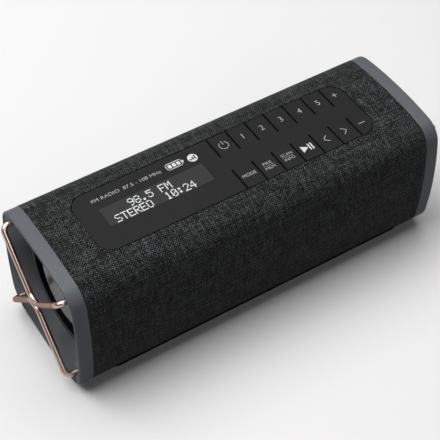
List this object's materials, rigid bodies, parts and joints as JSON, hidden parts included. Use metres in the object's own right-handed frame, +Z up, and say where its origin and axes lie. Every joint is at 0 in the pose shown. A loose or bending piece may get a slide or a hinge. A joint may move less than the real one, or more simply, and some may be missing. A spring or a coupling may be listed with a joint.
{
  "type": "portable radio",
  "caption": "Cloth-covered portable digital radio with a flush key strip, a small display, dished end caps with copper wire guards over end radiators, and a folding rear aerial.",
  "frame": {"origin": "middle of the flat base, on the surface it stands on", "axes": "+X along the length with the display end at -X, -Y to the front, +Z up"},
  "size_m": [0.2326, 0.0848, 0.0792],
  "materials": {
    "cloth": "woven heather",
    "cap_grey": "satin moulded",
    "copper_wire": "polished rose",
    "radiator_grey": "satin anodised",
    "black_rubber": "matt",
    "shell_black": "moulded",
    "strip_plastic": "fine matt",
    "window_smoke": "smoked",
    "lcd_glass": "dark",
    "circuit_board": "lacquered",
    "switch_black": "moulded",
    "frame_steel": "stoved",
    "magnet_iron": "plated",
    "cone_paper": "coated paper",
    "screw_steel": "zinc",
    "tin_plate": "tinned",
    "cell_wrap": "shrink wrap",
    "rear_plastic": "fine matt",
    "aerial_chrome": "bright"
  },
  "bodies": {
    "housing": {"chassis_tube": "shell_black", "fabric_sleeve": "cloth", "control_tray": "shell_black", "control_panel": "strip_plastic", "display_window": "window_smoke", "lcd_module": "lcd_glass", "key_board": "circuit_board", "tact_switches": "switch_black", "main_board": "circuit_board", "tuner_can": "tin_plate", "board_screws": "screw_steel", "battery_cells": "cell_wrap", "battery_holder": "shell_black", "rear_panel": "rear_plastic", "rear_screws": "screw_steel", "charge_socket": "tin_plate", "audio_jack": "switch_black", "base_pad": "black_rubber", "end_cap_left": "cap_grey", "wire_guard_left": "copper_wire", "radiator_ring_left": "shell_black", "radiator_surround_left": "black_rubber", "driver_frame_left": "frame_steel", "driver_magnet_left": "magnet_iron", "driver_surround_left": "black_rubber", "end_cap_right": "cap_grey", "wire_guard_right": "copper_wire", "radiator_ring_right": "shell_black", "radiator_surround_right": "black_rubber", "driver_frame_right": "frame_steel", "driver_magnet_right": "magnet_iron", "driver_surround_right": "black_rubber"},
    "key_mode_body": {"key_mode": "strip_plastic"},
    "key_memory_body": {"key_memory": "strip_plastic"},
    "key_scan_body": {"key_scan": "strip_plastic"},
    "key_play_body": {"key_play": "strip_plastic"},
    "key_previous_body": {"key_previous": "strip_plastic"},
    "key_next_body": {"key_next": "strip_plastic"},
    "key_volume_down_body": {"key_volume_down": "strip_plastic"},
    "key_power_body": {"key_power": "strip_plastic"},
    "key_preset_1_body": {"key_preset_1": "strip_plastic"},
    "key_preset_2_body": {"key_preset_2": "strip_plastic"},
    "key_preset_3_body": {"key_preset_3": "strip_plastic"},
    "key_preset_4_body": {"key_preset_4": "strip_plastic"},
    "key_preset_5_body": {"key_preset_5": "strip_plastic"},
    "key_volume_up_body": {"key_volume_up": "strip_plastic"},
    "radiator_left": {"radiator_disc_left": "radiator_grey"},
    "cone_left": {"driver_cone_left": "cone_paper", "dust_cap_left": "cone_paper"},
    "radiator_right": {"radiator_disc_right": "radiator_grey"},
    "cone_right": {"driver_cone_right": "cone_paper", "dust_cap_right": "cone_paper"},
    "aerial_base": {"aerial_turret": "rear_plastic", "aerial_pin": "screw_steel"},
    "aerial_arm": {"aerial_tube": "aerial_chrome"},
    "aerial_two": {"aerial_stage_two": "aerial_chrome"},
    "aerial_three": {"aerial_stage_three": "aerial_chrome"},
    "aerial_end": {"aerial_tip": "aerial_chrome"}
  },
  "joints": [
    {"name": "key_mode_press", "type": "hinge", "parent": "housing", "child": "key_mode_body", "pos_m": [0.006, -0.00603, 0.07618], "axis": [1, 0, 0], "range_deg": [0, 2.83], "stiffness_Nm_per_rad": 0.5},
    {"name": "key_memory_press", "type": "hinge", "parent": "housing", "child": "key_memory_body", "pos_m": [0.018, -0.00603, 0.07618], "axis": [1, 0, 0], "range_deg": [0, 2.83], "stiffness_Nm_per_rad": 0.5},
    {"name": "key_scan_press", "type": "hinge", "parent": "housing", "child": "key_scan_body", "pos_m": [0.03, -0.00603, 0.07618], "axis": [1, 0, 0], "range_deg": [0, 2.83], "stiffness_Nm_per_rad": 0.5},
    {"name": "key_play_press", "type": "hinge", "parent": "housing", "child": "key_play_body", "pos_m": [0.042, -0.00603, 0.07618], "axis": [1, 0, 0], "range_deg": [0, 2.83], "stiffness_Nm_per_rad": 0.5},
    {"name": "key_previous_press", "type": "hinge", "parent": "housing", "child": "key_previous_body", "pos_m": [0.054, -0.00603, 0.07618], "axis": [1, 0, 0], "range_deg": [0, 2.83], "stiffness_Nm_per_rad": 0.5},
    {"name": "key_next_press", "type": "hinge", "parent": "housing", "child": "key_next_body", "pos_m": [0.066, -0.00603, 0.07618], "axis": [1, 0, 0], "range_deg": [0, 2.83], "stiffness_Nm_per_rad": 0.5},
    {"name": "key_volume_down_press", "type": "hinge", "parent": "housing", "child": "key_volume_down_body", "pos_m": [0.0775, -0.00603, 0.07618], "axis": [1, 0, 0], "range_deg": [0, 2.83], "stiffness_Nm_per_rad": 0.5},
    {"name": "key_power_press", "type": "hinge", "parent": "housing", "child": "key_power_body", "pos_m": [0.006, 0.00603, 0.07618], "axis": [-1, 0, 0], "range_deg": [0, 2.83], "stiffness_Nm_per_rad": 0.5},
    {"name": "key_preset_1_press", "type": "hinge", "parent": "housing", "child": "key_preset_1_body", "pos_m": [0.018, 0.00603, 0.07618], "axis": [-1, 0, 0], "range_deg": [0, 2.83], "stiffness_Nm_per_rad": 0.5},
    {"name": "key_preset_2_press", "type": "hinge", "parent": "housing", "child": "key_preset_2_body", "pos_m": [0.03, 0.00603, 0.07618], "axis": [-1, 0, 0], "range_deg": [0, 2.83], "stiffness_Nm_per_rad": 0.5},
    {"name": "key_preset_3_press", "type": "hinge", "parent": "housing", "child": "key_preset_3_body", "pos_m": [0.042, 0.00603, 0.07618], "axis": [-1, 0, 0], "range_deg": [0, 2.83], "stiffness_Nm_per_rad": 0.5},
    {"name": "key_preset_4_press", "type": "hinge", "parent": "housing", "child": "key_preset_4_body", "pos_m": [0.054, 0.00603, 0.07618], "axis": [-1, 0, 0], "range_deg": [0, 2.83], "stiffness_Nm_per_rad": 0.5},
    {"name": "key_preset_5_press", "type": "hinge", "parent": "housing", "child": "key_preset_5_body", "pos_m": [0.066, 0.00603, 0.07618], "axis": [-1, 0, 0], "range_deg": [0, 2.83], "stiffness_Nm_per_rad": 0.5},
    {"name": "key_volume_up_press", "type": "hinge", "parent": "housing", "child": "key_volume_up_body", "pos_m": [0.0775, 0.00603, 0.07618], "axis": [-1, 0, 0], "range_deg": [0, 2.83], "stiffness_Nm_per_rad": 0.5},
    {"name": "radiator_left_breathe", "type": "slide", "parent": "housing", "child": "radiator_left", "axis": [-1, 0, 0], "range_m": [-0.002, 0.002], "stiffness_N_per_m": 400, "deforming": ["radiator_surround_left"]},
    {"name": "cone_left_stroke", "type": "slide", "parent": "housing", "child": "cone_left", "axis": [0, -1, 0], "range_m": [-0.0015, 0.0015], "stiffness_N_per_m": 1200, "deforming": ["driver_surround_left"]},
    {"name": "radiator_right_breathe", "type": "slide", "parent": "housing", "child": "radiator_right", "axis": [1, 0, 0], "range_m": [-0.002, 0.002], "stiffness_N_per_m": 400, "deforming": ["radiator_surround_right"]},
    {"name": "cone_right_stroke", "type": "slide", "parent": "housing", "child": "cone_right", "axis": [0, -1, 0], "range_m": [-0.0015, 0.0015], "stiffness_N_per_m": 1200, "deforming": ["driver_surround_right"]},
    {"name": "aerial_swivel", "type": "hinge", "parent": "housing", "child": "aerial_base", "pos_m": [0.062, 0.0424, 0.0472], "axis": [0, 1, 0], "range_deg": [0, 180]},
    {"name": "aerial_tilt", "type": "hinge", "parent": "aerial_base", "child": "aerial_arm", "pos_m": [0.062, 0.0424, 0.0472], "axis": [0, 0, -1], "range_deg": [0, 90]},
    {"name": "aerial_pull_two", "type": "slide", "parent": "aerial_arm", "child": "aerial_two", "axis": [-1, 0, 0], "range_m": [0, 0.1]},
    {"name": "aerial_pull_three", "type": "slide", "parent": "aerial_two", "child": "aerial_three", "axis": [-1, 0, 0], "range_m": [0, 0.1]},
    {"name": "aerial_pull_tip", "type": "slide", "parent": "aerial_three", "child": "aerial_end", "axis": [-1, 0, 0], "range_m": [0, 0.1]}
  ]
}
